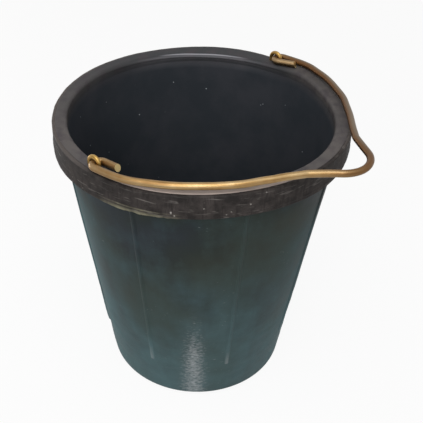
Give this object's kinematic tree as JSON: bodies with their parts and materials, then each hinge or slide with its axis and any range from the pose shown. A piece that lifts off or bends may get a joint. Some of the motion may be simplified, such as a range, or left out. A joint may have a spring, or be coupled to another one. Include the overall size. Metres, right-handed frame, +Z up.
{
  "type": "rubber bucket",
  "caption": "Tapered moulded rubber bucket with a banded rim, and a bent wire bail that hooks through two wire eyes and swings over the mouth.",
  "frame": {"origin": "middle of the base underside, on the bucket's axis", "axes": "+Z up along the bucket's axis, X along the bail's hinge line through both eyes, which stand 9.7 mm behind the axis, and the bail at rest lies over the front of the rim, towards -Y"},
  "size_m": [0.3262, 0.3683, 0.3533],
  "materials": {
    "bucket_rubber": "moulded, satin, dark green-grey",
    "band_rubber": "rough, dark brown-grey, scuffed",
    "hoop_steel": "drawn wire",
    "eye_wire": "brassed wire, worn bright",
    "bail_rod": "brassed rod, dull with worn bright stretches"
  },
  "bodies": {
    "bucket": {"bucket_body": "bucket_rubber", "rim_band": "band_rubber", "rim_hoop": "hoop_steel", "eye_left": "eye_wire", "eye_right": "eye_wire"},
    "bail": {"bail_handle": "bail_rod"}
  },
  "joints": [
    {"name": "bail_swing", "type": "hinge", "parent": "bucket", "child": "bail", "pos_m": [0, 0.0097, 0.3392], "axis": [-1, 0, 0], "range_deg": [0, 174]}
  ]
}
